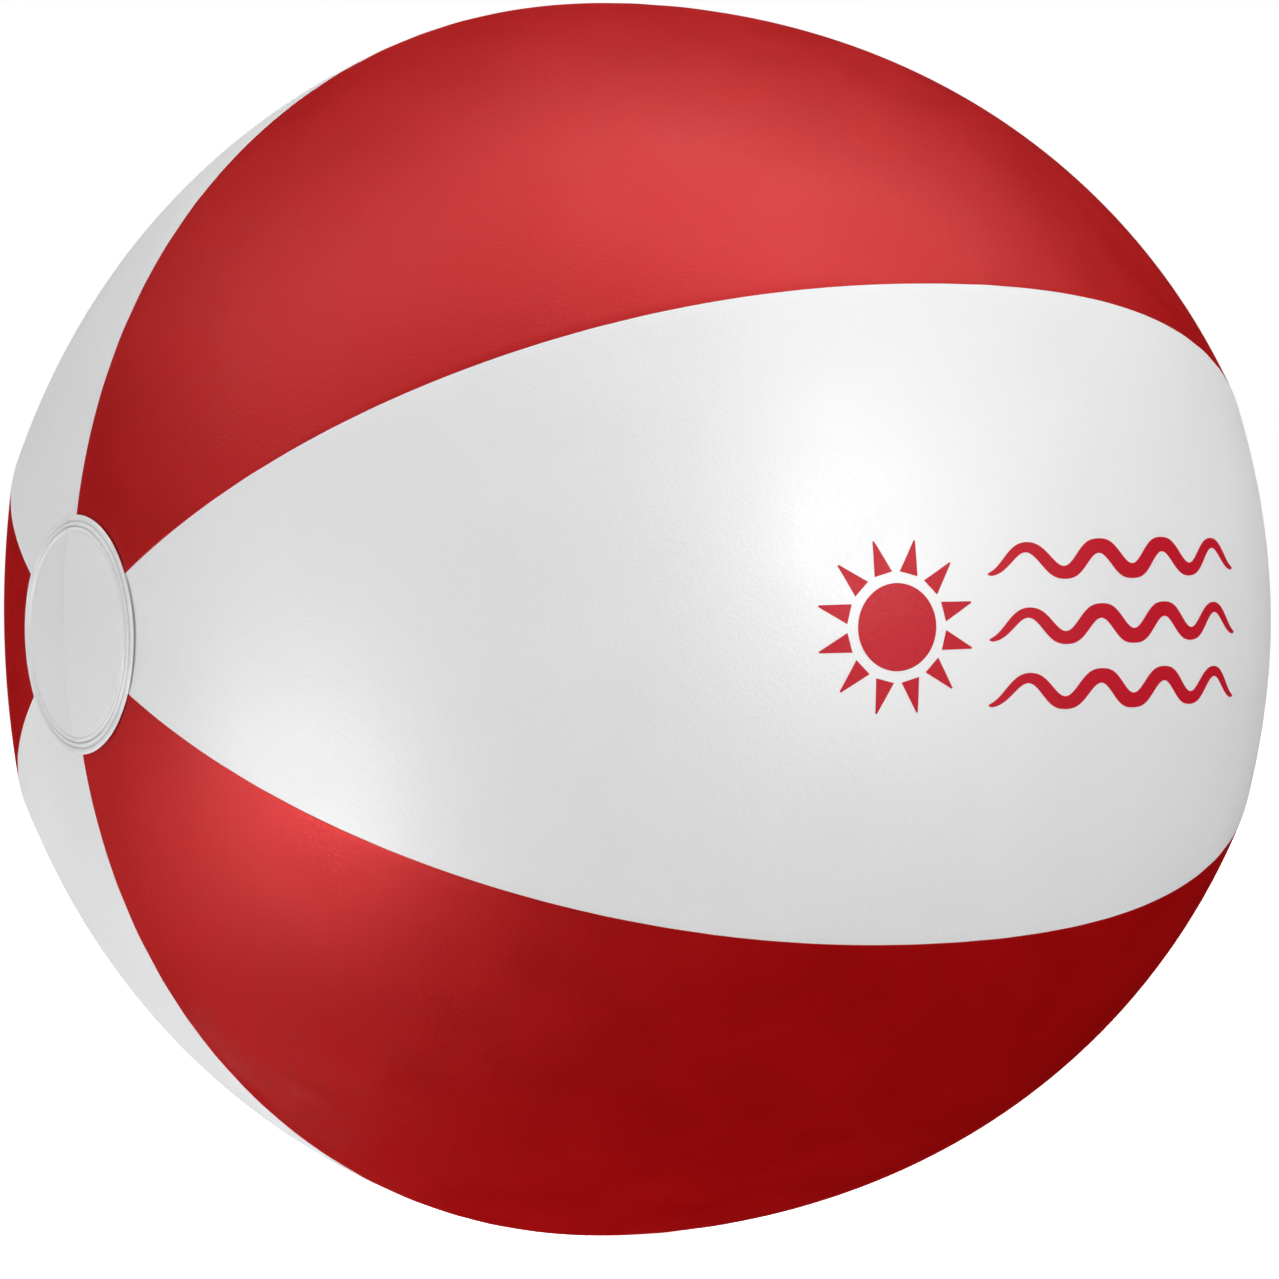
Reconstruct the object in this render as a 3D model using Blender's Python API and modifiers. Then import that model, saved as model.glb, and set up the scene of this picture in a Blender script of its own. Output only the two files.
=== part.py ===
"""Inflatable beach ball: six film panels, two end discs and a push-in air valve.

Metres, +Z up. The ball's axis, from one end disc to the other, lies along X, and the
origin is the centre of the ball. The valve sits in the middle of the disc at +X.
"""

import math

import bmesh
import bpy
from mathutils import Vector

# The blown-up ball
SEAM_RADIUS = 0.132  # axis to a seam, half way between the discs
POLE_RADIUS = 0.1358  # centre to the film under an end disc
ROUNDNESS = 2.13  # exponent of the seam's curve, where 2 is an ellipse
PANEL_SAG = 0.0044  # how much nearer to the axis a panel's middle is than its seams
SAG_FADE = 1.4  # how quickly that difference fades towards the discs
PANELS = 6
FILM = 0.00025  # thickness of the PVC film
WELD_FIN = 0.003  # film turned inwards along a seam and welded to its neighbour
GAP = 0.0003  # left between pieces that are welded or moulded together

# The end discs, welded over the panels' tips
DISC_RADIUS = 0.0245
DISC_FILM = 0.0003
DISC_FLAT = 0.006  # within this radius a disc has no dome
TIP_RADIUS = 0.0198  # round hole that the panels' tips leave under a disc
WELD_RINGS = (0.0219, 0.0235)  # radii of the two raised rings of the weld
RING_HALF_WIDTH = 0.0005
RING_HEIGHT = 0.0004

# The valve, with lengths along its axis counted outwards from the flange's face
VALVE_FACE = 0.1353  # from the ball's centre to the flange's outer face
DISC_HOLE_RADIUS = 0.009
FLANGE_OUTER = 0.013
FLANGE_INNER = 0.008
FLANGE_DEPTH = 0.0006
STEM_RADIUS = 0.00475
BORE_RADIUS = 0.00325
STEM_LENGTH = 0.015
COLLAR_RADIUS = 0.0062
COLLAR_DEPTH = 0.0007
SLEEVE_FILM = 0.0004
SLEEVE_DEPTH = 0.0138  # from the flange's face to where the sleeve meets the stem
HINGE_REACH = 0.0062  # from the valve's axis to the plug's hinge, downwards
HINGE_RISE = 0.0007  # from the stem's mouth out to the plug's hinge
LUG_LENGTH = 0.0024
LUG_WIDTH = 0.003
LUG_DEPTH = 0.0015
PLUG_HEAD_RADIUS = 0.0046
PLUG_TOP = 0.0011  # outer face of the plug's head, as far out as the other disc's middle
PLUG_LENGTH = 0.0042  # how far the plug reaches into the bore
TAB_WIDTH = 0.0036
TAB_REACH = 0.0067
TAB_THICKNESS = 0.0006
STRAP_WIDTH = 0.0024
STRAP_THICKNESS = 0.0006
FLAP_RADIUS = 0.0042
FLAP_FILM = 0.0004

# How finely the surfaces are divided
STATIONS = 24  # along a panel, from tip to tip
STRIPS = 8  # across a panel, from seam to seam
TURN_STEPS = 36
CAP_POINTS = 5  # on a disc, from its middle to its weld
MERGE = 0.00001

RED = (0.44, 0.01, 0.016)
WHITE = (0.86, 0.86, 0.87)
CLEAR_WHITE = (0.80, 0.81, 0.82)


def clear_scene():
    """Removes whatever the scene starts with."""
    for thing in list(bpy.data.objects):
        bpy.data.objects.remove(thing, do_unlink=True)


def new_collection(name):
    """A collection linked to the scene."""
    collection = bpy.data.collections.new(name)
    bpy.context.scene.collection.children.link(collection)
    return collection


def vinyl(name, colour, roughness):
    """A plain plastic material."""
    material = bpy.data.materials.new(name)
    material.use_nodes = True
    shader = material.node_tree.nodes["Principled BSDF"]
    shader.inputs["Base Color"].default_value = (*colour, 1.0)
    shader.inputs["Roughness"].default_value = roughness
    shader.inputs["Metallic"].default_value = 0.0
    return material


def add_object(name, mesh, collection, material):
    """An object of its own for one piece."""
    piece = bpy.data.objects.new(name, mesh)
    collection.objects.link(piece)
    mesh.materials.append(material)
    return piece


def add_empty(name, collection, parent, location, rotation=(0.0, 0.0, 0.0)):
    """An axis that pieces hang from."""
    empty = bpy.data.objects.new(name, None)
    empty.empty_display_size = 0.01
    empty.location = location
    empty.rotation_euler = rotation
    empty.parent = parent
    collection.objects.link(empty)
    return empty


def hang(piece, parent, location=(0.0, 0.0, 0.0)):
    """Places a piece in its parent's axes."""
    piece.parent = parent
    piece.location = location


def seam_reach(angle):
    """Distance from the ball's centre to a seam, at an angle from the ball's axis."""
    along = abs(math.cos(angle)) / POLE_RADIUS
    out = abs(math.sin(angle)) / SEAM_RADIUS
    return (along**ROUNDNESS + out**ROUNDNESS) ** (-1.0 / ROUNDNESS)


def cap_height(radius):
    """Distance along the axis to the film, at a radius from the axis."""
    share = (radius / SEAM_RADIUS) ** ROUNDNESS
    return POLE_RADIUS * (1.0 - share) ** (1.0 / ROUNDNESS)


def panel_point(angle, across, depth):
    """A point of the panel that faces -Y; across runs from -1 to 1 between its seams."""
    lift = PANEL_SAG * math.sin(angle) ** SAG_FADE * (1.0 - across**2)
    reach = seam_reach(angle) - lift
    radius = reach * math.sin(angle)
    half_turn = math.pi / PANELS - math.asin(0.5 * GAP / radius)
    turn = across * half_turn
    inner = (reach - depth) / reach
    return inner * Vector(
        (reach * math.cos(angle), -radius * math.cos(turn), radius * math.sin(turn))
    )


def panel_mesh(name):
    """The outer face of one panel, with the strip along each seam turned inwards."""
    tip = math.atan2(TIP_RADIUS, cap_height(TIP_RADIUS))
    columns = STRIPS + 2
    shape = bmesh.new()
    bmesh.ops.create_grid(shape, x_segments=STATIONS, y_segments=columns, size=1.0)
    for vertex in shape.verts:
        station = 0.5 * (1.0 - vertex.co.x)
        column = round(0.5 * (1.0 + vertex.co.y) * columns)
        turned_in = column in (0, columns)
        inside = min(max(column, 1), columns - 1)
        across = 2.0 * (inside - 1) / STRIPS - 1.0
        angle = tip + station * (math.pi - 2.0 * tip)
        vertex.co = panel_point(angle, across, WELD_FIN if turned_in else 0.0)
    mesh = bpy.data.meshes.new(name)
    shape.to_mesh(mesh)
    shape.free()
    mesh.shade_smooth()
    mesh.set_sharp_from_angle(angle=math.radians(50))
    return mesh


def add_film(piece, thickness, offset):
    """Gives an open surface its thickness."""
    film = piece.modifiers.new("film", "SOLIDIFY")
    film.thickness = thickness
    film.offset = offset
    film.use_even_offset = True


def add_panel(name, turn, collection, material):
    """One of the six panels, turned about the ball's axis."""
    panel = add_object(name, panel_mesh(name), collection, material)
    add_film(panel, FILM, -1.0)
    panel.rotation_euler = (turn, 0.0, 0.0)
    return panel


def turned(name, profile, closed, collection, material):
    """A piece turned about its own Z axis from a profile of (radius, height) points."""
    mesh = bpy.data.meshes.new(name)
    points = [(radius, 0.0, height) for radius, height in profile]
    edges = [(i, i + 1) for i in range(len(points) - 1)]
    if closed:
        edges.append((len(points) - 1, 0))
    mesh.from_pydata(points, edges, [])
    piece = add_object(name, mesh, collection, material)
    turn = piece.modifiers.new("turn", "SCREW")
    turn.axis = "Z"
    turn.angle = 2.0 * math.pi
    turn.steps = TURN_STEPS
    turn.render_steps = TURN_STEPS
    turn.use_merge_vertices = True
    turn.merge_threshold = MERGE
    turn.use_smooth_shade = True
    return piece


def disc_level(radius):
    """Distance along the axis to a disc's inner face, which is flat in the middle."""
    return GAP + (POLE_RADIUS if radius < DISC_FLAT else cap_height(radius))


def disc_profile(hole_radius):
    """Outline of an end disc from its middle, or its hole, round its rim and back."""
    flat_end = WELD_RINGS[0] - 2.0 * RING_HALF_WIDTH
    reach = flat_end - hole_radius
    flat = [hole_radius + reach * i / (CAP_POINTS - 1) for i in range(CAP_POINTS)]
    inner = [(radius, disc_level(radius)) for radius in [*flat, DISC_RADIUS]]
    outer = [(radius, height + DISC_FILM) for radius, height in inner[:-1]]
    for ring in WELD_RINGS:
        for step in (-1, 0, 1):
            radius = ring + step * RING_HALF_WIDTH
            rise = 0.0 if step else RING_HEIGHT
            outer.append((radius, disc_level(radius) + DISC_FILM + rise))
    rim = inner[-1][1] + DISC_FILM
    outer.append((DISC_RADIUS, rim))
    return outer + inner[::-1]


def add_disc(name, hole_radius, turn, collection, material):
    """An end disc, with its axis turned from Z to the ball's axis."""
    profile = disc_profile(hole_radius)
    disc = turned(name, profile, hole_radius > 0.0, collection, material)
    disc.rotation_euler = (0.0, turn, 0.0)
    return disc


def add_block(name, low, high, collection):
    """A box between two corners, to be joined to another piece."""
    low, high = Vector(low), Vector(high)
    shape = bmesh.new()
    bmesh.ops.create_cube(shape, size=1.0)
    for vertex in shape.verts:
        share = vertex.co + Vector((0.5, 0.5, 0.5))
        vertex.co = low + share * (high - low)
    mesh = bpy.data.meshes.new(name)
    shape.to_mesh(mesh)
    shape.free()
    block = bpy.data.objects.new(name, mesh)
    collection.objects.link(block)
    return block


def join(piece, block, parent, location=(0.0, 0.0, 0.0)):
    """Joins a block to a piece."""
    hang(block, parent, location)
    block.hide_render = True
    block.display_type = "WIRE"
    union = piece.modifiers.new("join", "BOOLEAN")
    union.operation = "UNION"
    union.solver = "EXACT"
    union.object = block


def add_flange(parent, collection, material):
    """The flat ring that is welded under the edge of the disc's hole."""
    profile = [
        (FLANGE_INNER, 0.0),
        (FLANGE_OUTER, 0.0),
        (FLANGE_OUTER, -FLANGE_DEPTH),
        (FLANGE_INNER, -FLANGE_DEPTH),
    ]
    hang(turned("valve_flange", profile, True, collection, material), parent)


def add_sleeve(parent, collection, material):
    """The soft sleeve between the flange and the foot of the stem, pushed inside."""
    top = FLANGE_INNER - GAP - 0.5 * SLEEVE_FILM
    foot = STEM_RADIUS + GAP
    middle = 0.5 * (top + foot)
    profile = [
        (top, -0.5 * SLEEVE_FILM),
        (top - 0.0003, -0.4 * SLEEVE_DEPTH),
        (top - 0.0007, -0.8 * SLEEVE_DEPTH),
        (middle, -0.97 * SLEEVE_DEPTH),
        (foot, -SLEEVE_DEPTH),
    ]
    sleeve = turned("valve_sleeve", profile, False, collection, material)
    add_film(sleeve, SLEEVE_FILM, 0.0)
    hang(sleeve, parent)


def add_stem(parent, collection, blocks, material):
    """The tube that air is blown through, with a lug that holds the plug's strap."""
    collar_top = COLLAR_DEPTH - STEM_LENGTH
    profile = [
        (BORE_RADIUS, 0.0),
        (STEM_RADIUS, 0.0),
        (STEM_RADIUS, collar_top),
        (COLLAR_RADIUS, collar_top),
        (COLLAR_RADIUS, -STEM_LENGTH),
        (BORE_RADIUS, -STEM_LENGTH),
    ]
    stem = turned("valve_stem", profile, True, collection, material)
    hang(stem, parent)
    start = 0.5 * (STEM_RADIUS + BORE_RADIUS)
    low = (start, -0.5 * LUG_WIDTH, -LUG_DEPTH)
    high = (start + LUG_LENGTH, 0.5 * LUG_WIDTH, 0.0)
    join(stem, add_block("strap_lug", low, high, blocks), parent)
    return stem


def add_plug(hinge, collection, blocks, material):
    """The stopper, whose shank narrows so that it swings clear of the bore."""
    slack = BORE_RADIUS - GAP
    head_foot = GAP
    profile = [
        (0.0, PLUG_TOP),
        (PLUG_HEAD_RADIUS - 0.0002, PLUG_TOP),
        (PLUG_HEAD_RADIUS, PLUG_TOP - 0.0002),
        (PLUG_HEAD_RADIUS, head_foot),
        (slack, head_foot),
        (0.966 * slack, -0.16 * PLUG_LENGTH),
        (0.880 * slack, -0.40 * PLUG_LENGTH),
        (0.762 * slack, -0.64 * PLUG_LENGTH),
        (0.593 * slack, -0.88 * PLUG_LENGTH),
        (0.400 * slack, -0.98 * PLUG_LENGTH),
        (0.0, -PLUG_LENGTH),
    ]
    to_valve = (-HINGE_REACH, 0.0, -HINGE_RISE)
    plug = turned("valve_plug", profile, False, collection, material)
    hang(plug, hinge, to_valve)
    tab_foot = head_foot + 0.0001
    low = (-TAB_REACH, -0.5 * TAB_WIDTH, tab_foot)
    high = (-0.8 * PLUG_HEAD_RADIUS, 0.5 * TAB_WIDTH, tab_foot + TAB_THICKNESS)
    join(plug, add_block("pull_tab", low, high, blocks), hinge, to_valve)


def add_strap(hinge, collection, material):
    """The thin band that ties the plug's head to the lug on the stem."""
    low = (PLUG_HEAD_RADIUS + GAP - HINGE_REACH, -0.5 * STRAP_WIDTH, GAP - HINGE_RISE)
    high = (0.0005, 0.5 * STRAP_WIDTH, low[2] + STRAP_THICKNESS)
    strap = add_block("plug_strap", low, high, collection)
    strap.data.materials.append(material)
    hang(strap, hinge)


def add_flap(hinge, collection, material):
    """The disc of film that closes the stem's inner end behind the air."""
    shape = bmesh.new()
    bmesh.ops.create_cone(
        shape,
        cap_ends=True,
        segments=TURN_STEPS,
        radius1=FLAP_RADIUS,
        radius2=FLAP_RADIUS,
        depth=FLAP_FILM,
    )
    mesh = bpy.data.meshes.new("check_flap")
    shape.to_mesh(mesh)
    shape.free()
    mesh.shade_smooth()
    mesh.set_sharp_from_angle(angle=math.radians(30))
    hang(add_object("check_flap", mesh, collection, material), hinge, (FLAP_RADIUS, 0.0, 0.0))


def add_valve(ball, blocks, material, clear):
    """The valve, in axes of its own: Z out of the ball, X towards the ground."""
    quarter = 0.5 * math.pi
    place = (VALVE_FACE, 0.0, 0.0)
    valve = add_empty("valve_axis", ball, None, place, (0.0, quarter, 0.0))
    add_flange(valve, ball, material)
    add_sleeve(valve, ball, clear)
    stem = add_stem(valve, ball, blocks, material)
    plug_hinge = add_empty("plug_hinge", ball, stem, (HINGE_REACH, 0.0, HINGE_RISE))
    add_plug(plug_hinge, ball, blocks, material)
    add_strap(plug_hinge, ball, material)
    flap_level = -STEM_LENGTH - GAP - 0.5 * FLAP_FILM
    flap_hinge = add_empty("flap_hinge", ball, stem, (-FLAP_RADIUS, 0.0, flap_level))
    add_flap(flap_hinge, ball, clear)


def add_panels(ball, red, white):
    """Red and white panels in turn, named by where they lie on the resting ball."""
    step = 2.0 * math.pi / PANELS
    add_panel("panel_white_front", 0.0, ball, white)
    add_panel("panel_red_upper", -step, ball, red)
    add_panel("panel_white_upper_back", -2.0 * step, ball, white)
    add_panel("panel_red_back", 3.0 * step, ball, red)
    add_panel("panel_white_lower_back", 2.0 * step, ball, white)
    add_panel("panel_red_lower", step, ball, red)


def main():
    clear_scene()
    ball = new_collection("inflatable_beach_ball")
    blocks = new_collection("joined_blocks")
    red = vinyl("red_vinyl", RED, 0.42)
    white = vinyl("white_vinyl", WHITE, 0.42)
    moulded = vinyl("moulded_white_vinyl", WHITE, 0.38)
    clear = vinyl("clear_vinyl", CLEAR_WHITE, 0.30)
    add_panels(ball, red, white)
    quarter = 0.5 * math.pi
    add_disc("end_disc", 0.0, -quarter, ball, white)
    add_disc("valve_disc", DISC_HOLE_RADIUS, quarter, ball, white)
    add_valve(ball, blocks, moulded, clear)


main()
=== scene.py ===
"""Inflatable beach ball: six film panels, two end discs and a push-in air valve."""

import math

import bpy
from mathutils import Matrix, Vector, noise


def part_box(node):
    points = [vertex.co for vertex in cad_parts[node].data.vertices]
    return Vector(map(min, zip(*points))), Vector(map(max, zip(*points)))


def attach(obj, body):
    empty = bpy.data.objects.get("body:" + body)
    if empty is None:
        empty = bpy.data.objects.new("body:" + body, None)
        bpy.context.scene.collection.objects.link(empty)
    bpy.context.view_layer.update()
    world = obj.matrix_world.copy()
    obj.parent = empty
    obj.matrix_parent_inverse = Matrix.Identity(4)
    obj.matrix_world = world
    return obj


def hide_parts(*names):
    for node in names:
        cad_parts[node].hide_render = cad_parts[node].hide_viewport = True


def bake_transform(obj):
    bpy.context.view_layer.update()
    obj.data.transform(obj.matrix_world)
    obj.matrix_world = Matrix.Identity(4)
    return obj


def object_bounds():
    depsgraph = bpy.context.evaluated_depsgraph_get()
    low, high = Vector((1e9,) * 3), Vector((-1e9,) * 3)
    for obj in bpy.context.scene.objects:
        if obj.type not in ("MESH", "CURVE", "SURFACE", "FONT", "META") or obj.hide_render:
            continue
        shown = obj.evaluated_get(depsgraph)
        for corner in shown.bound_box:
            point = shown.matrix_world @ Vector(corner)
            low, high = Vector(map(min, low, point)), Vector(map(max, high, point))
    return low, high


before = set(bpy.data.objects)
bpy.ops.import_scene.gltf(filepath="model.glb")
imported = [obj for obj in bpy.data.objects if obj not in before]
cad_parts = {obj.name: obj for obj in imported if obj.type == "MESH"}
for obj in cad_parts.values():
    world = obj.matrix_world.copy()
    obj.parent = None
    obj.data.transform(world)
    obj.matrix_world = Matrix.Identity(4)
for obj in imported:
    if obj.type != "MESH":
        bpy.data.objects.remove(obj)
cad_low, cad_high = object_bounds()

# ----------------------------------------------------------------------------------
# Film panels. Each is a gore cut from thin satin PVC film. Its two long edges are turned
# inwards and welded to its neighbours, which leaves a fine crease on the outside.
# Blown up, a panel is flatter across than the ball is round, so the seams stand proud.
# ----------------------------------------------------------------------------------
panel_count = 6
seam_radius = cad_high.z
film = 0.00025
disc_stand_off = 0.0006
pole_radius = -cad_low.x - disc_stand_off
roundness = 2.13
# towards the valve's end the seams are drawn in and the panels are rounder
drawn_in = 0.45
rounder = 1.6
panel_sag = 0.0333 * seam_radius
sag_fade = 1.4
tip_radius = 0.0198
weld_fin = 0.003
seam_gap = 0.00002
fold_radius = 0.00010
pucker_height = 0.00003
pucker_reach = 0.006
short_pucker = 0.00170
long_pucker = 0.00233
pucker_patch = 0.0121
stations = 230
strips = 50
half_share = math.pi / panel_count


def seam_reach(angle):
    """Distance from the ball's centre to a seam, at an angle from +X."""
    along = abs(math.cos(angle)) / pole_radius
    out = abs(math.sin(angle)) / seam_radius
    power = roundness - drawn_in * math.sin(angle) ** 2 * max(0.0, math.cos(angle)) ** 4
    return (along**power + out**power) ** (-1.0 / power)


def film_height(radius):
    """Distance along the ball's axis to the film, at a radius from the axis."""
    share = (radius / seam_radius) ** roundness
    return pole_radius * (1.0 - share) ** (1.0 / roundness)


def cut_half_width(along):
    """Half the width of the flat gore, at a length from the ball's widest place."""
    angle = 0.5 * math.pi - along / seam_radius
    return half_share * seam_reach(angle) * math.sin(angle) - 0.5 * seam_gap


def pucker(along, to_seam):
    """Small gathers in the film beside a seam, where its edge is longer than its middle."""
    wave = math.sin(along / short_pucker) + 0.7 * math.sin(along / long_pucker + 1.3)
    swell = 0.5 + 0.5 * math.sin(along / pucker_patch)
    return pucker_height * wave * swell * math.exp(-((to_seam / pucker_reach) ** 2))


def blow_up(flat):
    """Wraps a point of the flat front panel, with its height over the film, onto the ball."""
    angle = 0.5 * math.pi - flat.x / seam_radius
    edge_reach = seam_reach(angle)
    edge_radius = edge_reach * math.sin(angle)
    turn = flat.y / edge_radius
    across = turn / half_share
    to_seam = max(0.0, half_share * edge_radius - abs(flat.y))
    fade = sag_fade + rounder * max(0.0, math.cos(angle))
    sag = panel_sag * math.sin(angle) ** fade * (1.0 - across**2)
    reach = edge_reach - sag + pucker(flat.x, to_seam) + flat.z
    radius = reach * math.sin(angle)
    return Vector((reach * math.cos(angle), -radius * math.cos(turn), radius * math.sin(turn)))


def only(thing):
    """Makes one object the selected and active one."""
    bpy.ops.object.select_all(action="DESELECT")
    thing.select_set(True)
    bpy.context.view_layer.objects.active = thing


def name_it(name):
    """Names the object that was just added, and puts its place into its mesh."""
    thing = bpy.context.object
    thing.name = name
    thing.data.name = name
    only(thing)
    bpy.ops.object.transform_apply(location=True, rotation=True, scale=True)
    return thing


def edit(thing, mode):
    """Opens a piece in edit mode, for vertices, edges or faces."""
    only(thing)
    bpy.ops.object.mode_set(mode="EDIT")
    bpy.ops.mesh.select_mode(type=mode)
    bpy.ops.mesh.select_all(action="SELECT")


def choose_edges(thing, chosen):
    """Selects only the edges whose two ends pass a test."""
    mesh = thing.data
    for group in (mesh.vertices, mesh.edges, mesh.polygons):
        group.foreach_set("select", [False] * len(group))
    for edge in mesh.edges:
        edge.select = chosen(*(mesh.vertices[i].co for i in edge.vertices))


def done():
    """Leaves edit mode."""
    bpy.ops.object.mode_set(mode="OBJECT")


def apply_modifiers(thing):
    """Applies every modifier of an object in turn."""
    only(thing)
    for modifier in list(thing.modifiers):
        bpy.ops.object.modifier_apply(modifier=modifier.name)


def give_thickness(thing, thickness, offset=-1.0):
    """Turns an open film into a closed sheet, inwards or, at offset 0, to both sides."""
    sheet = thing.modifiers.new("sheet", "SOLIDIFY")
    sheet.thickness = thickness
    sheet.offset = offset
    sheet.use_even_offset = True
    apply_modifiers(thing)


def smooth(thing, angle):
    """Shades a piece smooth, with sharp edges past an angle in degrees."""
    only(thing)
    bpy.ops.object.shade_smooth_by_angle(angle=math.radians(angle))


def on_long_side(one, other):
    """True for the two ends of an edge on a long side of the gore, before it is blown up."""
    level = abs(one.z) < 1e-6 and abs(other.z) < 1e-6
    at_seam = all(abs(abs(co.y) - cut_half_width(co.x)) < 2e-6 for co in (one, other))
    return level and at_seam and abs(one.x - other.x) > 1e-6


bpy.ops.object.select_all(action="DESELECT")
bpy.ops.mesh.primitive_grid_add(x_subdivisions=stations, y_subdivisions=strips, size=2.0)
gore = name_it("gore_pattern")
tip_angle = math.atan2(tip_radius, film_height(tip_radius))
half_length = (0.5 * math.pi - tip_angle) * seam_radius
for vertex in gore.data.vertices:
    along = vertex.co.x * half_length
    vertex.co = (along, vertex.co.y * cut_half_width(along), 0.0)
edit(gore, "EDGE")
done()
choose_edges(gore, on_long_side)
bpy.ops.object.mode_set(mode="EDIT")
bpy.ops.mesh.extrude_edges_move(TRANSFORM_OT_translate={"value": (0.0, 0.0, -weld_fin)})
done()
choose_edges(gore, on_long_side)
bpy.ops.object.mode_set(mode="EDIT")
bpy.ops.mesh.bevel(offset=fold_radius, segments=4, affect="EDGES")
done()
for vertex in gore.data.vertices:
    vertex.co = blow_up(vertex.co)
give_thickness(gore, film)
smooth(gore, 50)


def film_material(name, colour, ior, tint, mottle):
    """Satin film: an uneven gloss, and a fine grain in its colour and in its surface."""
    material = bpy.data.materials.new(name)
    material.use_nodes = True
    nodes = material.node_tree.nodes
    links = material.node_tree.links
    shader = nodes["Principled BSDF"]
    shader.inputs["IOR"].default_value = ior
    shader.inputs["Specular Tint"].default_value = (*tint, 1.0)
    place = nodes.new("ShaderNodeTexCoord")
    grain = nodes.new("ShaderNodeTexNoise")
    grain.inputs["Scale"].default_value = 1500.0
    grain.inputs["Detail"].default_value = 3.0
    links.new(place.outputs["Object"], grain.inputs["Vector"])
    patches = nodes.new("ShaderNodeTexNoise")
    patches.inputs["Scale"].default_value = 60.0
    patches.inputs["Detail"].default_value = 4.0
    links.new(place.outputs["Object"], patches.inputs["Vector"])
    both = nodes.new("ShaderNodeMix")
    both.inputs["Factor"].default_value = 0.4
    links.new(grain.outputs["Fac"], both.inputs["A"])
    links.new(patches.outputs["Fac"], both.inputs["B"])
    speckle = nodes.new("ShaderNodeMapRange")
    speckle.inputs["From Min"].default_value = 0.35
    speckle.inputs["From Max"].default_value = 0.65
    links.new(both.outputs["Result"], speckle.inputs["Value"])
    gloss = nodes.new("ShaderNodeMapRange")
    gloss.inputs["To Min"].default_value = 0.45
    gloss.inputs["To Max"].default_value = 0.59
    links.new(speckle.outputs["Result"], gloss.inputs["Value"])
    links.new(gloss.outputs["Result"], shader.inputs["Roughness"])
    pigment = nodes.new("ShaderNodeMix")
    pigment.data_type = "RGBA"
    pigment.inputs["A"].default_value = (*[(1.0 - mottle) * part for part in colour], 1.0)
    pigment.inputs["B"].default_value = (*[(1.0 + mottle) * part for part in colour], 1.0)
    links.new(speckle.outputs["Result"], pigment.inputs["Factor"])
    links.new(pigment.outputs["Result"], shader.inputs["Base Color"])
    bump = nodes.new("ShaderNodeBump")
    bump.inputs["Strength"].default_value = 1.0
    bump.inputs["Distance"].default_value = 0.00006
    links.new(grain.outputs["Fac"], bump.inputs["Height"])
    links.new(bump.outputs["Normal"], shader.inputs["Normal"])
    return material


def fit_out(piece, material, slot, body, *nodes):
    """Gives a finished piece its material, the body it rides on and its nodes; the slot is not
    used.
    """
    piece.data.materials.clear()
    piece.data.materials.append(material)
    if nodes:
        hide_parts(*nodes)
    if body:
        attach(piece, body)


red_film = film_material("red_film", (0.373, 0.0012, 0.0020), 2.33, (1.0, 0.094, 0.095), 0.07)
white_film = film_material("white_film", (0.86, 0.86, 0.86), 1.81, (1.0, 1.0, 1.0), 0.012)
panels = [
    ("panel_white_front", 0, white_film, "white_vinyl"),
    ("panel_red_upper", -1, red_film, "red_vinyl"),
    ("panel_white_upper_back", -2, white_film, "white_vinyl"),
    ("panel_red_back", 3, red_film, "red_vinyl"),
    ("panel_white_lower_back", 2, white_film, "white_vinyl"),
    ("panel_red_lower", 1, red_film, "red_vinyl"),
]
for node, turns, material, slot in panels:
    skin = gore.copy()
    skin.data = gore.data.copy()
    bpy.context.collection.objects.link(skin)
    skin.name = node + "_film"
    skin.data.name = skin.name
    skin.data.transform(Matrix.Rotation(turns * 2.0 * half_share, 4, "X"))
    fit_out(skin, material, slot, "root", node)
bpy.data.objects.remove(gore)

# ----------------------------------------------------------------------------------
# Printed mark. A sun and three waves, screen printed in red ink on the flat front
# panel before it was welded. The ink is a thin skin that follows the blown-up film.
# ----------------------------------------------------------------------------------
ink_height = 0.00005
ink_thickness = 0.00003
sun_place = Vector((-0.0185, -0.0025, 0.0))
sun_radius = 0.0090
sun_rings = 7
ray_count = 12
ray_foot = 0.0112
ray_tip = 0.0182
ray_half_width = 0.0021
ray_narrowing = 0.92
wave_start = 0.0035
wave_length = 0.0202
wave_count = 4
wave_height = 0.0027
wave_half_width = 0.0026
wave_levels = (0.0105, -0.0030, -0.0165)

ink_pieces = []
bpy.ops.object.select_all(action="DESELECT")
bpy.ops.mesh.primitive_circle_add(
    vertices=72, radius=sun_radius, fill_type="NGON", location=sun_place
)
sun = name_it("sun_disc")
edit(sun, "FACE")
for _ in range(sun_rings - 1):
    bpy.ops.mesh.inset(thickness=sun_radius / sun_rings)
bpy.ops.mesh.poke()
done()
ink_pieces.append(sun)

for i in range(ray_count):
    ray_turn = 2.0 * math.pi * (i + 0.5) / ray_count
    bpy.ops.object.select_all(action="DESELECT")
    bpy.ops.mesh.primitive_grid_add(x_subdivisions=6, y_subdivisions=4, size=2.0)
    ray = name_it("sun_ray")
    for vertex in ray.data.vertices:
        share = 0.5 * (vertex.co.x + 1.0)
        width = ray_half_width * (1.0 - ray_narrowing * share)
        reach = ray_foot + share * (ray_tip - ray_foot)
        spot = Vector((reach, vertex.co.y * width, 0.0))
        vertex.co = sun_place + Matrix.Rotation(ray_turn, 3, "Z") @ spot
    ink_pieces.append(ray)

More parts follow.
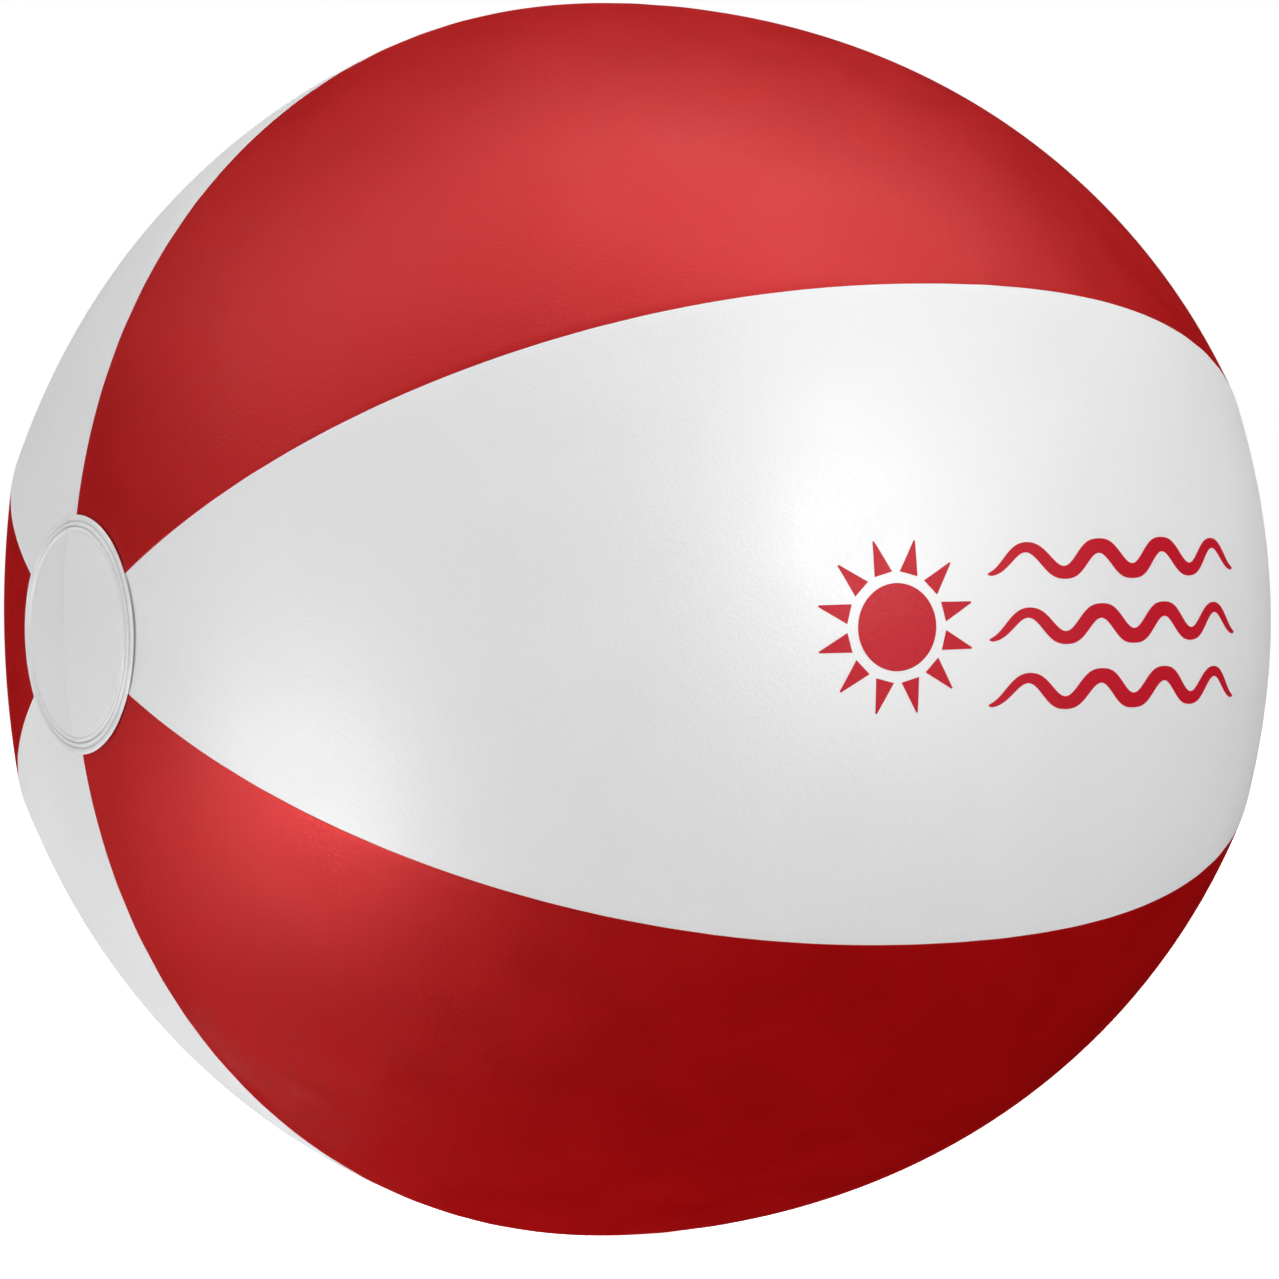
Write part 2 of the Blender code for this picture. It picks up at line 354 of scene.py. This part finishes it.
for level in wave_levels:
    bpy.ops.object.select_all(action="DESELECT")
    bpy.ops.mesh.primitive_grid_add(x_subdivisions=110, y_subdivisions=3, size=2.0)
    stroke = name_it("wave_stroke")
    for vertex in stroke.data.vertices:
        share = 0.5 * (vertex.co.x + 1.0)
        along = wave_start + share * wave_count * wave_length
        phase = 2.0 * math.pi * share * wave_count
        taper = math.sin(math.pi * share) ** 0.45
        width = wave_half_width * (0.08 + 0.92 * taper) * (0.8 - 0.2 * math.cos(2.0 * phase))
        crest = -wave_height * math.cos(phase)
        vertex.co = (along, level + crest + vertex.co.y * width, 0.0)
    ink_pieces.append(stroke)

bpy.ops.object.select_all(action="DESELECT")
for part in ink_pieces:
    part.select_set(True)
bpy.context.view_layer.objects.active = sun
bpy.ops.object.join()
mark = name_it("printed_sun_and_waves")
for vertex in mark.data.vertices:
    vertex.co = blow_up(vertex.co + Vector((0.0, 0.0, ink_height)))
give_thickness(mark, ink_thickness)
smooth(mark, 40)
red_ink = film_material("red_ink", (0.55, 0.007, 0.022), 1.5, (1.0, 0.3, 0.3), 0.02)
fit_out(mark, red_ink, "red_vinyl", "root")

# ----------------------------------------------------------------------------------
# End discs. A round patch of white film, welded over the panels' tips with a ring tool
# that presses two grooves and squeezes up a bead beside each. The plain one keeps a fold line
# from its package; the other has a hole, and a ring pressed round it where the valve is welded.
# ----------------------------------------------------------------------------------
disc_film = 0.00024
disc_gap = 0.00004
disc_segments = 384
disc_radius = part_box("end_disc")[1].z
# radius as a share of the disc's, and height over its smooth dome
weld_profile = [
    (1.000, 0.00000), (0.994, 0.00008), (0.985, 0.00013), (0.972, 0.00010), (0.960, 0.00005),
    (0.952, -0.00004), (0.947, -0.00022), (0.942, -0.00004), (0.932, 0.00015),
    (0.922, 0.00023), (0.912, 0.00013), (0.906, -0.00006), (0.902, -0.00026),
    (0.898, -0.00006), (0.890, 0.00015), (0.882, 0.00022), (0.873, 0.00014),
    (0.862, 0.00004), (0.857, -0.00008), (0.850, -0.00003), (0.838, 0.00000),
]
dome_rings = 46
middle_radius = 0.0004
hole_radius = 0.009
valve_weld_radius = 0.0112
valve_weld_half_width = 0.0007
valve_weld_depth = 0.00014


def press_disc(name, outward, inner_radius):
    """Insets a filled circle again and again, so that each ring has its own height."""
    rings = [(share * disc_radius, rise) for share, rise in weld_profile]
    start = rings[-1][0]
    last = max(inner_radius, middle_radius)
    for i in range(1, dome_rings + 1):
        radius = start + (last - start) * i / dome_rings
        offset = (radius - valve_weld_radius) / valve_weld_half_width
        pressed = valve_weld_depth * math.exp(-(offset**4)) if inner_radius else 0.0
        rings.append((radius, -pressed))
    level = [film_height(radius) + disc_gap + disc_film + rise for radius, rise in rings]
    bpy.ops.object.select_all(action="DESELECT")
    bpy.ops.mesh.primitive_circle_add(
        vertices=disc_segments,
        radius=rings[0][0],
        fill_type="NGON",
        location=(0.0, 0.0, level[0]),
    )
    disc = name_it(name)
    edit(disc, "FACE")
    # an inset moves a straight side, which is nearer the middle than its corners are
    side = math.cos(math.pi / disc_segments)
    for i in range(1, len(rings)):
        step = (rings[i - 1][0] - rings[i][0]) * side
        bpy.ops.mesh.inset(thickness=step, depth=level[i] - level[i - 1])
    if inner_radius:
        bpy.ops.mesh.delete(type="FACE")
    done()
    disc.data.transform(Matrix.Rotation(outward * 0.5 * math.pi, 4, "Y"))
    return disc


# radius as a share of the disc's, and a tone multiplied into the film's colour there: painted
# shade, darkest in the pressed weld grooves
groove_painted_shade = [
    (0.830, 1.00), (0.853, 1.00), (0.857, 0.84), (0.863, 0.97), (0.884, 1.00),
    (0.896, 0.90), (0.902, 0.60), (0.908, 0.92), (0.922, 1.00), (0.938, 0.92),
    (0.947, 0.66), (0.956, 0.92), (0.970, 0.98), (0.990, 1.00),
]
# place across the disc as a share of its radius, and a tone multiplied into the film's colour:
# painted shade, a dark line in the fold's crease and a little darker on one side of it
fold_painted_shade = [
    (-1.00, 1.00), (-0.45, 1.00), (0.02, 0.985), (0.095, 0.975), (0.106, 0.90), (0.118, 0.94),
    (0.30, 0.95), (0.75, 0.955), (1.00, 0.97),
]
flat_share = 0.86
fold_place = 0.0026
fold_bow = 0.0012
fold_height = 0.00042
fold_width = 0.0050
dent_place = (0.0008, 0.0207)
dent_half_size = (0.0006, 0.00022)
dent_depth = 0.00040
bubble_height = 0.00022
bubble_grain = 1150.0
bubble_middle = 51.0
bubble_spread = 20.0
groove_share = 0.902
groove_half_width = 0.012
end_disc = press_disc("end_disc_film", -1.0, 0.0)
for vertex in end_disc.data.vertices:
    radius = math.hypot(vertex.co.y, vertex.co.z)
    inside = max(0.0, 1.0 - (radius / (flat_share * disc_radius)) ** 8)
    from_fold = abs(vertex.co.y - fold_place - fold_bow * math.sin(vertex.co.z / 0.012))
    vertex.co.x -= fold_height * inside * math.exp(-from_fold / fold_width)
    dent_y = (vertex.co.y - dent_place[0]) / dent_half_size[0]
    dent_z = (vertex.co.z - dent_place[1]) / dent_half_size[1]
    vertex.co.x += dent_depth * math.exp(-Vector((0.0, dent_y, dent_z)).length_squared)
    from_groove = (radius / disc_radius - groove_share) / groove_half_width
    around = math.degrees(math.atan2(vertex.co.z, -vertex.co.y))
    from_patch = (around - bubble_middle) / bubble_spread
    bubbled = bubble_height * math.exp(-(from_groove**2)) * math.exp(-(from_patch**4))
    vertex.co.x -= bubbled * (1.0 + 1.4 * noise.noise(vertex.co * bubble_grain))
give_thickness(end_disc, disc_film)
smooth(end_disc, 60)
disc_white = film_material("white_disc_film", (0.87, 0.87, 0.87), 1.81, (1.0, 1.0, 1.0), 0.012)
nodes = disc_white.node_tree.nodes
links = disc_white.node_tree.links
place = nodes.new("ShaderNodeTexCoord")
flat = nodes.new("ShaderNodeVectorMath")
flat.operation = "MULTIPLY"
flat.inputs[1].default_value = (0.0, 1.0 / disc_radius, 1.0 / disc_radius)
links.new(place.outputs["Object"], flat.inputs[0])
share = nodes.new("ShaderNodeVectorMath")
share.operation = "LENGTH"
links.new(flat.outputs["Vector"], share.inputs[0])
spread = nodes.new("ShaderNodeMapRange")
spread.inputs["From Min"].default_value = groove_painted_shade[0][0]
spread.inputs["From Max"].default_value = 1.0
links.new(share.outputs["Value"], spread.inputs["Value"])
# ramp of the painted shade in the weld grooves, by radius
rings = nodes.new("ShaderNodeValToRGB")
links.new(spread.outputs["Result"], rings.inputs["Fac"])
apart = nodes.new("ShaderNodeSeparateXYZ")
links.new(flat.outputs["Vector"], apart.inputs["Vector"])
across = nodes.new("ShaderNodeMapRange")
across.inputs["From Min"].default_value = -1.0
links.new(apart.outputs["Y"], across.inputs["Value"])
# ramp of the painted shade beside the fold, across the disc; the valve disc shares this
# material and carries it too
fold = nodes.new("ShaderNodeValToRGB")
links.new(across.outputs["Result"], fold.inputs["Fac"])
for ramp, tones in ((rings, groove_painted_shade), (fold, fold_painted_shade)):
    first, last = tones[0][0], 1.0
    ramp.color_ramp.elements[-1].color = (tones[-1][1], tones[-1][1], tones[-1][1], 1.0)
    for i in range(len(tones)):
        position = (tones[i][0] - first) / (last - first)
        elements = ramp.color_ramp.elements
        stop = elements.new(position) if 0.0 < position < 1.0 else elements[0 if i == 0 else -1]
        stop.color = (tones[i][1], tones[i][1], tones[i][1], 1.0)
# the two painted shades, groove and fold, multiplied together and then into the film's own
# colour
painted_shade_tone = nodes.new("ShaderNodeMix")
painted_shade_tone.data_type = "RGBA"
painted_shade_tone.blend_type = "MULTIPLY"
painted_shade_tone.inputs["Factor"].default_value = 1.0
links.new(rings.outputs["Color"], painted_shade_tone.inputs["A"])
links.new(fold.outputs["Color"], painted_shade_tone.inputs["B"])
shader = nodes["Principled BSDF"]
base_with_painted_shade = nodes.new("ShaderNodeMix")
base_with_painted_shade.data_type = "RGBA"
base_with_painted_shade.blend_type = "MULTIPLY"
base_with_painted_shade.inputs["Factor"].default_value = 1.0
links.new(shader.inputs["Base Color"].links[0].from_socket, base_with_painted_shade.inputs["A"])
links.new(painted_shade_tone.outputs["Result"], base_with_painted_shade.inputs["B"])
links.new(base_with_painted_shade.outputs["Result"], shader.inputs["Base Color"])
fit_out(end_disc, disc_white, "white_vinyl", "root", "end_disc")

valve_disc = press_disc("valve_disc_film", 1.0, hole_radius)
give_thickness(valve_disc, disc_film)
smooth(valve_disc, 60)
fit_out(valve_disc, disc_white, "white_vinyl", "root", "valve_disc")

# ----------------------------------------------------------------------------------
# Valve flange. A flat ring moulded in soft white PVC, welded under the edge of the
# hole in the disc. A low bead runs round its inner lip, where the sleeve begins.
# ----------------------------------------------------------------------------------
flange_low, flange_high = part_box("valve_flange")
valve_face = flange_high.x
flange_radius = flange_high.z
flange_lip = 0.008
flange_edge = 0.0001
flange_depth = flange_high.x - flange_low.x
valve_segments = 96


def turn_piece(name, profile, ends):
    """Extrudes a circle from ring to ring of a profile of (radius, height) points.

    Heights count outwards from the valve's face. The two ends are bridged or filled.
    """
    radius, height = profile[0]
    bpy.ops.object.select_all(action="DESELECT")
    bpy.ops.mesh.primitive_circle_add(
        vertices=valve_segments, radius=radius, location=(0.0, 0.0, height)
    )
    piece = name_it(name)
    edit(piece, "EDGE")
    for next_radius, next_height in profile[1:]:
        rise = (0.0, 0.0, next_height - height)
        bpy.ops.mesh.extrude_edges_move(TRANSFORM_OT_translate={"value": rise})
        grow = next_radius / radius
        bpy.ops.transform.resize(
            value=(grow, grow, 1.0), center_override=(0.0, 0.0, next_height)
        )
        radius, height = next_radius, next_height
    bpy.ops.mesh.select_all(action="DESELECT")
    bpy.ops.mesh.select_non_manifold()
    if ends == "bridge":
        bpy.ops.mesh.bridge_edge_loops()
    if ends == "fill":
        bpy.ops.mesh.fill_holes(sides=0)
    bpy.ops.mesh.select_all(action="SELECT")
    bpy.ops.mesh.normals_make_consistent(inside=False)
    done()
    return piece


def set_in_ball(piece):
    """Turns a piece from the valve's own axes, with Z outwards, to its place in the ball."""
    place = Matrix.Translation((valve_face, 0.0, 0.0)) @ Matrix.Rotation(0.5 * math.pi, 4, "Y")
    piece.data.transform(place)


def moulded_material(name, colour, clearness, roughness):
    """Soft moulded PVC: light sinks in a little, and the mould leaves a fine matt texture."""
    material = bpy.data.materials.new(name)
    material.use_nodes = True
    nodes = material.node_tree.nodes
    links = material.node_tree.links
    shader = nodes["Principled BSDF"]
    shader.inputs["Subsurface Weight"].default_value = 0.35
    shader.inputs["Subsurface Radius"].default_value = (0.0016, 0.0014, 0.0012)
    shader.inputs["Transmission Weight"].default_value = clearness
    place = nodes.new("ShaderNodeTexCoord")
    cloud = nodes.new("ShaderNodeTexNoise")
    cloud.inputs["Scale"].default_value = 350.0
    cloud.inputs["Detail"].default_value = 3.0
    links.new(place.outputs["Object"], cloud.inputs["Vector"])
    tone = nodes.new("ShaderNodeMix")
    tone.data_type = "RGBA"
    tone.inputs["A"].default_value = (*[0.95 * part for part in colour], 1.0)
    tone.inputs["B"].default_value = (*colour, 1.0)
    links.new(cloud.outputs["Fac"], tone.inputs["Factor"])
    links.new(tone.outputs["Result"], shader.inputs["Base Color"])
    gloss = nodes.new("ShaderNodeMapRange")
    gloss.inputs["To Min"].default_value = roughness - 0.05
    gloss.inputs["To Max"].default_value = roughness + 0.05
    links.new(cloud.outputs["Fac"], gloss.inputs["Value"])
    links.new(gloss.outputs["Result"], shader.inputs["Roughness"])
    spark = nodes.new("ShaderNodeTexNoise")
    spark.inputs["Scale"].default_value = 3500.0
    links.new(place.outputs["Object"], spark.inputs["Vector"])
    bump = nodes.new("ShaderNodeBump")
    bump.inputs["Strength"].default_value = 0.6
    bump.inputs["Distance"].default_value = 0.00001
    links.new(spark.outputs["Fac"], bump.inputs["Height"])
    links.new(bump.outputs["Normal"], shader.inputs["Normal"])
    return material


moulded = moulded_material("moulded_white_vinyl", (0.84, 0.84, 0.84), 0.0, 0.38)
flange = turn_piece("valve_flange_ring", [
    (flange_lip + flange_edge, 0.0),
    (flange_lip + 0.0003, 0.00008),
    (flange_lip + 0.0006, 0.00010),
    (flange_lip + 0.0008, 0.0),
    (flange_radius - flange_edge, 0.0),
    (flange_radius, -flange_edge),
    (flange_radius, -flange_depth + flange_edge),
    (flange_radius - flange_edge, -flange_depth),
    (flange_lip + flange_edge, -flange_depth),
    (flange_lip, -flange_depth + flange_edge),
    (flange_lip, -flange_edge),
], "bridge")
set_in_ball(flange)
smooth(flange, 35)
fit_out(flange, moulded, "moulded_vinyl", "root", "valve_flange")

# ----------------------------------------------------------------------------------
# Valve stem. A tube moulded in soft white PVC, which air is blown through. Its foot has
# a collar for the sleeve, its sides two grip rings, and its mouth a lug for the strap.
# ----------------------------------------------------------------------------------
stem_low, stem_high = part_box("valve_stem")
stem_length = stem_high.x - stem_low.x
stem_radius = 0.00475
bore_radius = 0.00325
collar_radius = stem_high.y
collar_depth = 0.0007
lip_round = 0.00015
grip_levels = (-0.0045, -0.0080)
grip_height = 0.00016
lug_reach = -stem_low.z
lug_depth = 0.0015
lug_width = 0.003

collar_top = collar_depth - stem_length
outer_wall = [(stem_radius - lip_round, 0.0), (stem_radius, -lip_round)]
for level in grip_levels:
    outer_wall.append((stem_radius, level + 0.0005))
    outer_wall.append((stem_radius + grip_height, level + 0.0002))
    outer_wall.append((stem_radius + grip_height, level - 0.0002))
    outer_wall.append((stem_radius, level - 0.0005))
stem = turn_piece("valve_stem_tube", [
    (bore_radius + lip_round, 0.0),
    *outer_wall,
    (stem_radius, collar_top + 0.0003),
    (stem_radius + 0.0003, collar_top),
    (collar_radius - lip_round, collar_top),
    (collar_radius, collar_top - lip_round),
    (collar_radius, -stem_length + lip_round),
    (collar_radius - lip_round, -stem_length),
    (bore_radius + lip_round, -stem_length),
    (bore_radius, -stem_length + lip_round),
    (bore_radius, -0.0030),
    (bore_radius + 0.0001, -0.0027),
    (bore_radius, -0.0024),
    (bore_radius, -lip_round),
], "bridge")


def rounded_block(name, low, high, radius):
    """A cube scaled to a block between two corners, with every edge rounded."""
    low, high = Vector(low), Vector(high)
    bpy.ops.object.select_all(action="DESELECT")
    bpy.ops.mesh.primitive_cube_add(size=1.0, location=0.5 * (low + high), scale=high - low)
    block = name_it(name)
    edit(block, "EDGE")
    bpy.ops.mesh.bevel(offset=radius, segments=4, affect="EDGES")
    done()
    return block


def weld_on(piece, block):
    """Joins a block to a piece as one body."""
    union = piece.modifiers.new("union", "BOOLEAN")
    union.operation = "UNION"
    union.solver = "EXACT"
    union.object = block
    apply_modifiers(piece)
    bpy.data.objects.remove(block)


lug_start = 0.5 * (stem_radius + bore_radius)
lug = rounded_block(
    "lug", (lug_start, -0.5 * lug_width, -lug_depth), (lug_reach, 0.5 * lug_width, 0.0), 0.00025
)
weld_on(stem, lug)
set_in_ball(stem)
smooth(stem, 35)
fit_out(stem, moulded, "moulded_vinyl", "stem", "valve_stem")

# ----------------------------------------------------------------------------------
# Valve sleeve. A thin soft wall of milky PVC between the flange and the stem's foot.
# It lets the stem stand out for blowing.
# ----------------------------------------------------------------------------------
sleeve_film = 0.0004
sleeve_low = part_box("valve_sleeve")[0]
sleeve_depth = valve_face - sleeve_low.x - 0.5 * sleeve_film
sleeve_top = flange_lip - 0.0003
sleeve_foot = stem_radius + 0.0005
sleeve_taper = 0.0006
sleeve_gather = 0.00007
sleeve_steps = 40
sleeve_profile = []
for i in range(sleeve_steps + 1):
    share = i / sleeve_steps
    turn_in = sleeve_top - sleeve_foot - sleeve_taper
    narrowing = sleeve_taper * share + turn_in * share**14
    gather = sleeve_gather * math.sin(26.0 * share) * math.sin(math.pi * share)
    level = -0.5 * sleeve_film - sleeve_depth * share
    sleeve_profile.append((sleeve_top - narrowing + gather, level))
sleeve = turn_piece("valve_sleeve_wall", sleeve_profile, "open")
give_thickness(sleeve, sleeve_film, 0.0)
set_in_ball(sleeve)
smooth(sleeve, 50)
milky = moulded_material("milky_soft_vinyl", (0.82, 0.83, 0.84), 0.25, 0.30)
fit_out(sleeve, milky, "clear_vinyl", None, "valve_sleeve")
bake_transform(sleeve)

# ----------------------------------------------------------------------------------
# Valve plug. A stopper moulded in soft white PVC. Its shank narrows so that it swings
# clear of the bore, its head has a dimple for the thumb, and a ribbed tab pulls it open.
# ----------------------------------------------------------------------------------
head_radius = 0.0046
head_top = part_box("valve_plug")[1].x - valve_face
head_foot = 0.0003
shank_radius = bore_radius - 0.0003
shank_length = 0.0042
tab_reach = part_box("valve_plug")[1].z
tab_width = 0.0036
tab_foot = 0.0004
tab_top = 0.00095
rib_count = 3
rib_spacing = 0.0005
rib_half_width = 0.00013
plug = turn_piece("valve_plug_stopper", [
    (0.0008, head_top - 0.00022),
    (0.0018, head_top - 0.00018),
    (0.0026, head_top - 0.00004),
    (0.0031, head_top),
    (head_radius - 0.0003, head_top),
    (head_radius - 0.0001, head_top - 0.0001),
    (head_radius, head_top - 0.0003),
    (head_radius, head_foot + 0.0001),
    (head_radius - 0.0001, head_foot),
    (shank_radius + 0.0001, head_foot),
    (shank_radius, head_foot - 0.0001),
    (0.985 * shank_radius, -0.10 * shank_length),
    (1.010 * shank_radius, -0.18 * shank_length),
    (0.950 * shank_radius, -0.26 * shank_length),
    (0.880 * shank_radius, -0.40 * shank_length),
    (0.762 * shank_radius, -0.64 * shank_length),
    (0.593 * shank_radius, -0.88 * shank_length),
    (0.400 * shank_radius, -0.98 * shank_length),
    (0.200 * shank_radius, -shank_length),
], "fill")
tab = rounded_block(
    "tab",
    (-tab_reach, -0.5 * tab_width, tab_foot),
    (-0.8 * head_radius, 0.5 * tab_width, tab_top),
    0.00022,
)
weld_on(plug, tab)
for i in range(rib_count):
    rib_place = -tab_reach + rib_spacing * (i + 1)
    rib = rounded_block(
        "rib",
        (rib_place - rib_half_width, -0.36 * tab_width, tab_top - 0.0002),
        (rib_place + rib_half_width, 0.36 * tab_width, head_top),
        0.00005,
    )
    weld_on(plug, rib)
set_in_ball(plug)
smooth(plug, 35)
fit_out(plug, moulded, "moulded_vinyl", "plug", "valve_plug")

# ----------------------------------------------------------------------------------
# Plug strap. A thin band moulded with the plug and the stem's lug. It is the hinge that
# the plug swings on, so it is thinned across its middle.
# ----------------------------------------------------------------------------------
strap_low, strap_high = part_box("plug_strap")
bpy.ops.object.select_all(action="DESELECT")
bpy.ops.mesh.primitive_cube_add(
    size=1.0,
    location=0.5 * (strap_low + strap_high),
    scale=strap_high - strap_low,
)
strap = name_it("plug_strap_band")
edit(strap, "EDGE")
done()
choose_edges(strap, lambda one, other: abs(one.z - other.z) > 1e-6)
bpy.ops.object.mode_set(mode="EDIT")
bpy.ops.mesh.subdivide(number_cuts=15)
done()
strap_middle = 0.5 * (strap_low + strap_high)
strap_half_length = 0.5 * (strap_high.z - strap_low.z)
strap_thinnest = 0.55
strap_narrowest = 0.90
for vertex in strap.data.vertices:
    share = (vertex.co.z - strap_middle.z) / strap_half_length
    waist = strap_thinnest + (1.0 - strap_thinnest) * share**2
    vertex.co.x = strap_middle.x + waist * (vertex.co.x - strap_middle.x)
    vertex.co.y *= strap_narrowest + (1.0 - strap_narrowest) * share**2
rounded = strap.modifiers.new("rounded", "BEVEL")
rounded.width = 0.00006
rounded.segments = 3
rounded.limit_method = "ANGLE"
apply_modifiers(strap)
smooth(strap, 40)
fit_out(strap, moulded, "moulded_vinyl", None, "plug_strap")
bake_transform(strap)

# ----------------------------------------------------------------------------------
# Check flap. A disc of milky PVC film at the stem's inner end. The air blown in pushes
# it open, and the air inside presses it shut. It is welded at one edge.
# ----------------------------------------------------------------------------------
flap_low, flap_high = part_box("check_flap")
flap_radius = 0.5 * (flap_high.y - flap_low.y)
flap_film = flap_high.x - flap_low.x
flap = turn_piece("check_flap_disc", [
    (0.0006, 0.5 * flap_film - 0.00006),
    (0.0016, 0.5 * flap_film - 0.00004),
    (bore_radius - 0.0004, 0.5 * flap_film - 0.00004),
    (bore_radius, 0.5 * flap_film),
    (flap_radius - 0.0001, 0.5 * flap_film),
    (flap_radius, 0.5 * flap_film - 0.0001),
    (flap_radius, -0.5 * flap_film + 0.0001),
    (flap_radius - 0.0001, -0.5 * flap_film),
    (0.0006, -0.5 * flap_film),
], "fill")
flap.data.transform(Matrix.Rotation(0.5 * math.pi, 4, "Y"))
flap.data.transform(Matrix.Translation(0.5 * (flap_low + flap_high)))
smooth(flap, 35)
fit_out(flap, milky, "clear_vinyl", "flap", "check_flap")

# ----------------------------------------------------------------------------------
# Stage. A plain white floor and studio. Soft boxes stand in front, overhead, low on the
# left and behind, with a wide one above and one below. The level camera looks at the
# ball from the side of its plain end disc.
# ----------------------------------------------------------------------------------
floor_level = cad_low.z
bpy.ops.object.select_all(action="DESELECT")
bpy.ops.mesh.primitive_plane_add(size=12.0, location=(0.0, 0.0, floor_level))
floor = name_it("floor")
paper = bpy.data.materials.new("white_paper")
paper.use_nodes = True
paper_nodes = paper.node_tree.nodes
paper_shader = paper_nodes["Principled BSDF"]
paper_shader.inputs["Base Color"].default_value = (0.9, 0.9, 0.9, 1.0)
paper_shader.inputs["Roughness"].default_value = 0.9
paper_shader.inputs["Specular IOR Level"].default_value = 0.0
paper_shader.inputs["Emission Color"].default_value = (1.0, 1.0, 1.0, 1.0)
seen = paper_nodes.new("ShaderNodeLightPath")
glow = paper_shader.inputs["Emission Strength"]
paper.node_tree.links.new(seen.outputs["Is Camera Ray"], glow)
floor.data.materials.append(paper)
floor.visible_diffuse = False
floor.visible_glossy = False
floor.visible_shadow = False

world = bpy.data.worlds.new("studio")
bpy.context.scene.world = world
world.use_nodes = True
world_nodes = world.node_tree.nodes
world_links = world.node_tree.links
backdrop = world_nodes["Background"]
backdrop.inputs["Color"].default_value = (1.0, 1.0, 1.0, 1.0)
# the page and the floor are only seen: all the light on the ball is from the lamps
ray_kind = world_nodes.new("ShaderNodeLightPath")
world_links.new(ray_kind.outputs["Is Camera Ray"], backdrop.inputs["Strength"])

camera_azimuth = math.radians(-31.43)
camera_elevation = math.radians(0.26)
camera_distance = 1.442
camera_roll = math.radians(-1.46)
camera_tilt = math.radians(-0.177)
camera_lens = 189.2
camera_data = bpy.data.cameras.new("camera")
camera = bpy.data.objects.new("camera", camera_data)
bpy.context.scene.collection.objects.link(camera)
camera_data.lens = camera_lens
camera_data.sensor_width = 36.0
camera_data.clip_start = 0.01
level_back = Vector((math.sin(camera_azimuth), -math.cos(camera_azimuth), 0.0))
back = level_back * math.cos(camera_elevation)
back.z = math.sin(camera_elevation)
facing = (-back).to_track_quat("-Z", "Y").to_matrix().to_4x4()
leaning = Matrix.Rotation(camera_roll, 4, "Z") @ Matrix.Rotation(camera_tilt, 4, "X")
camera.matrix_world = Matrix.Translation(back * camera_distance) @ facing @ leaning
bpy.context.scene.camera = camera
bpy.context.scene.view_settings.view_transform = "Standard"
to_right = Vector((math.cos(camera_azimuth), math.sin(camera_azimuth), 0.0))


def lamp_box(name, place, width, depth, brightness, shine):
    """A rectangular lamp facing the ball, seen only as sheen or only as plain light."""
    lamp = bpy.data.lights.new(name, "AREA")
    lamp.shape = "RECTANGLE"
    lamp.size = width
    lamp.size_y = depth
    lamp.energy = brightness * math.pi * width * depth
    lamp.cycles.use_multiple_importance_sampling = False
    box = bpy.data.objects.new(name, lamp)
    bpy.context.scene.collection.objects.link(box)
    away = Vector(place).normalized()
    side = (to_right - away * to_right.dot(away)).normalized()
    turned = Matrix((side, away.cross(side), away)).transposed().to_4x4()
    box.matrix_world = Matrix.Translation(place) @ turned
    box.visible_camera = False
    box.visible_glossy = shine
    box.visible_diffuse = not shine


def soft_box(name, place, width, depth, light, sheen):
    """A soft box, with one brightness as plain light and another in the film's sheen."""
    if light:
        lamp_box(name + "_light", place, width, depth, light, False)
    if sheen:
        lamp_box(name + "_sheen", place, width, depth, sheen, True)


soft_box("key", (0.257, -1.160, 0.215), 0.37, 0.58, 6.3, 20.4)
soft_box("overhead", (0.245, -0.248, 1.145), 1.19, 0.92, 0.28, 3.8)
soft_box("rear_overhead", (-0.689, 0.243, 0.963), 1.12, 0.58, 0.56, 3.2)
soft_box("low_left", (-1.097, 0.038, -0.470), 0.71, 0.71, 1.83, 10.8)
soft_box("low_rear", (-0.188, 0.901, -0.784), 0.20, 0.27, 34.4, 1.4)
soft_box("ceiling", (0.0, 0.0, 2.0), 8.0, 8.0, 1.15, 0.0)
soft_box("floor_bounce", (0.0, 0.0, -1.2), 8.0, 8.0, 0.77, 0.0)
